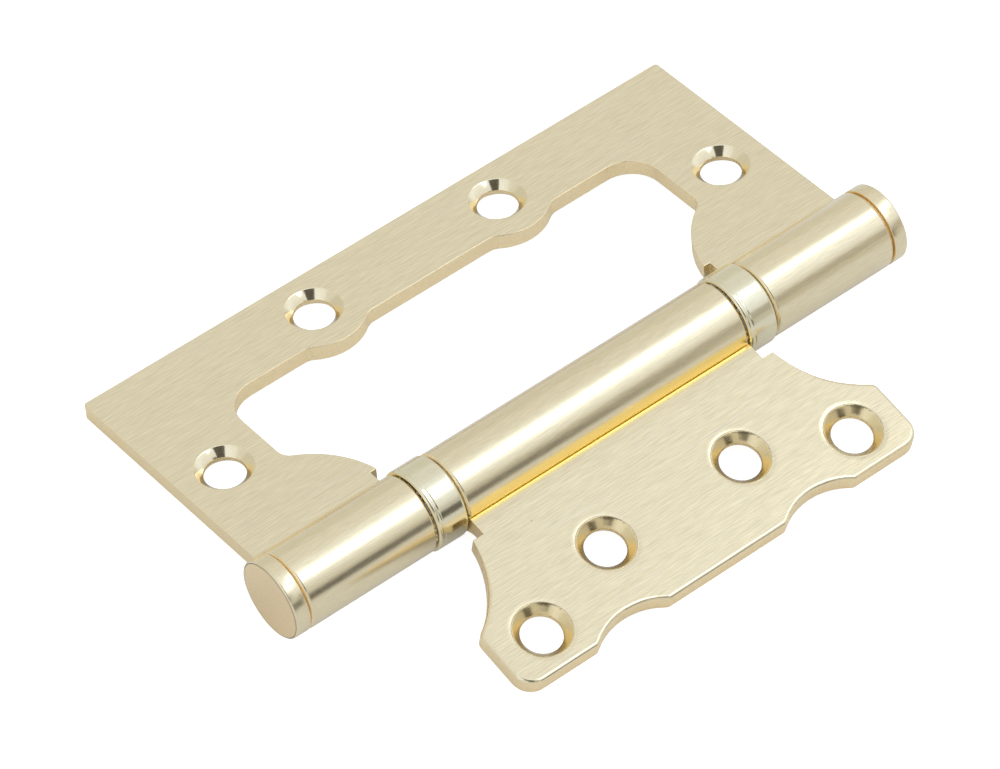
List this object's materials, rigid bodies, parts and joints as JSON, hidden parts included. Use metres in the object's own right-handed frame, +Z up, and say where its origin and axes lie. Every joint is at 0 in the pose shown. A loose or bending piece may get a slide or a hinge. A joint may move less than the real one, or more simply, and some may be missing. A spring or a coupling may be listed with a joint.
{
  "type": "ball-bearing butterfly butt hinge",
  "caption": "Butterfly butt hinge with ball bearings: the smaller leaf folds flush into a window in the larger leaf. Countersunk screw holes, capped barrel, satin pale gold.",
  "frame": {"origin": "middle of the opened hinge's outline on the surface it lies on, midway along the barrel", "axes": "+X along the barrel, +Y towards the larger, windowed leaf, +Z up, out of the countersunk faces"},
  "size_m": [0.105, 0.0746, 0.0121],
  "materials": {
    "outer_leaf_plating": "satin pale gold plating, finely brushed along the barrel",
    "inner_leaf_plating": "satin pale gold plating, finely brushed along the barrel",
    "cap_plating": "matt pale gold plating on the face, satin round the side",
    "shell_plating": "polished pale gold plating",
    "pin_steel": "turned bare steel",
    "race_steel": "turned bare steel",
    "ball_steel": "polished hard steel"
  },
  "bodies": {
    "larger_leaf": {"outer_leaf": "outer_leaf_plating", "hinge_pin": "pin_steel", "left_end_cap": "cap_plating", "right_end_cap": "cap_plating", "left_loose_race": "race_steel", "right_bearing_shell": "shell_plating", "right_seated_race": "race_steel"},
    "smaller_leaf": {"inner_leaf": "inner_leaf_plating", "left_bearing_shell": "shell_plating", "left_seated_race": "race_steel", "right_loose_race": "race_steel"},
    "left_ball_ring": {"left_balls": "ball_steel"},
    "right_ball_ring": {"right_balls": "ball_steel"}
  },
  "joints": [
    {"name": "leaf_swing", "type": "hinge", "parent": "larger_leaf", "child": "smaller_leaf", "pos_m": [0, -0.00723, 0.00605], "axis": [-1, 0, 0], "range_deg": [-74.68, 195.32]},
    {"name": "left_ball_orbit", "type": "hinge", "parent": "larger_leaf", "child": "left_ball_ring", "pos_m": [0, -0.00723, 0.00605], "axis": [-1, 0, 0], "range_deg": [-37.4, 97.7]},
    {"name": "right_ball_orbit", "type": "hinge", "parent": "larger_leaf", "child": "right_ball_ring", "pos_m": [0, -0.00723, 0.00605], "axis": [-1, 0, 0], "range_deg": [-37.4, 97.7]}
  ],
  "couplings": [
    {"joint": "left_ball_orbit", "follows": "leaf_swing", "ratio": 0.5},
    {"joint": "right_ball_orbit", "follows": "leaf_swing", "ratio": 0.5}
  ]
}
